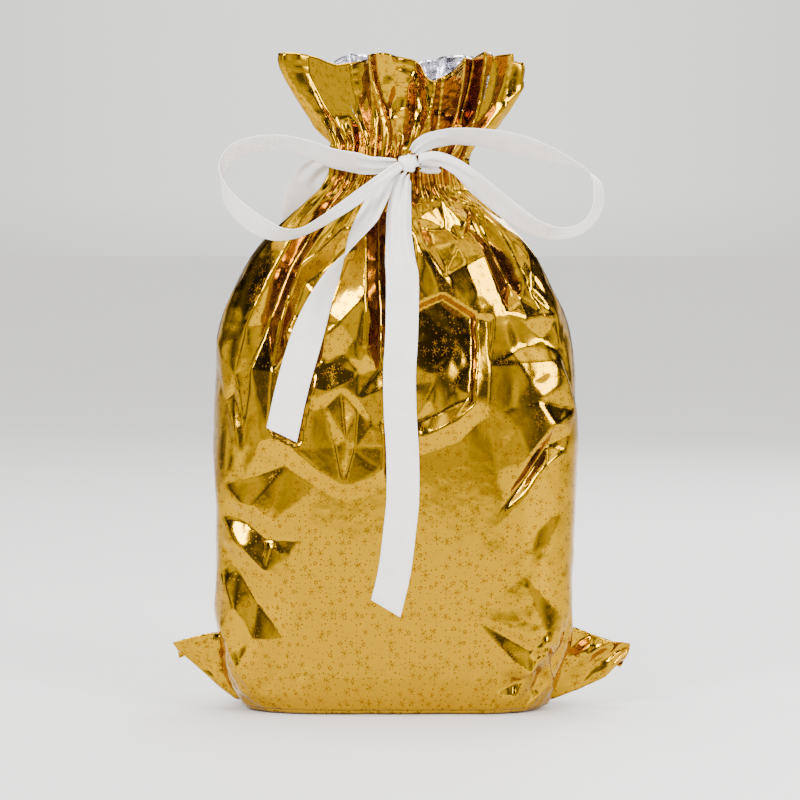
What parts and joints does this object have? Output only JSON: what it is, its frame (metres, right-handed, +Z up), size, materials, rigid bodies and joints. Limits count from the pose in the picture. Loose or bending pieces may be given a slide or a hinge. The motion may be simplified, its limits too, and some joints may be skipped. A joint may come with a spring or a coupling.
{
  "type": "gift bag",
  "caption": "Standing drawstring pouch in metallised film, drawn in at the neck below a pleated frill and tied in front with a satin ribbon bow.",
  "frame": {"origin": "centre of the flat base, on the surface that the bag stands on", "axes": "+Z up, from the base to the frill; -Y towards the front, where the bow is; +X to the right seen from the front"},
  "size_m": [0.23, 0.0777, 0.329],
  "materials": {
    "gold_film": "gloss",
    "silver_film": "gloss",
    "white_satin": "satin"
  },
  "bodies": {
    "bag": {"front_panel": "gold_film", "back_panel": "gold_film", "bottom_gusset": "gold_film", "front_channel_strip": "silver_film", "back_channel_strip": "silver_film", "neck_ribbon": "white_satin", "knot": "white_satin", "ribbon_lead": "white_satin", "rear_loop": "white_satin", "left_tail_root": "white_satin", "right_tail_root": "white_satin"},
    "collar": {"collar_front": "gold_film", "collar_back": "gold_film"},
    "left_ear": {"left_corner_ear": "gold_film"},
    "right_ear": {"right_corner_ear": "gold_film"},
    "left_loop": {"left_loop": "white_satin"},
    "right_loop": {"right_loop": "white_satin"},
    "left_tail": {"left_tail": "white_satin"},
    "right_tail": {"right_tail": "white_satin"}
  },
  "joints": [
    {"name": "collar_bend", "type": "hinge", "parent": "bag", "child": "collar", "pos_m": [0.005, 0, 0.276], "axis": [1, 0, 0], "range_deg": [-12, 12]},
    {"name": "left_ear_fold", "type": "hinge", "parent": "bag", "child": "left_ear", "pos_m": [-0.08755, 0, 0.023], "axis": [-0.1694, 0, 0.9855], "range_deg": [-25, 25]},
    {"name": "right_ear_fold", "type": "hinge", "parent": "bag", "child": "right_ear", "pos_m": [0.0878, 0, 0.025], "axis": [0.1644, 0, 0.9864], "range_deg": [-25, 25]},
    {"name": "left_loop_swing", "type": "hinge", "parent": "bag", "child": "left_loop", "pos_m": [0.007, -0.0198, 0.2725], "axis": [0, 0, 1], "range_deg": [0, 35]},
    {"name": "right_loop_swing", "type": "hinge", "parent": "bag", "child": "right_loop", "pos_m": [0.007, -0.0198, 0.2725], "axis": [0, 0, -1], "range_deg": [0, 35]},
    {"name": "left_tail_lift", "type": "hinge", "parent": "bag", "child": "left_tail", "pos_m": [-0.0123, -0.0247, 0.2475], "axis": [-1, 0, 0], "range_deg": [0, 34]},
    {"name": "right_tail_lift", "type": "hinge", "parent": "bag", "child": "right_tail", "pos_m": [0.0045, -0.0216, 0.2645], "axis": [-1, 0, 0], "range_deg": [0, 52]}
  ]
}
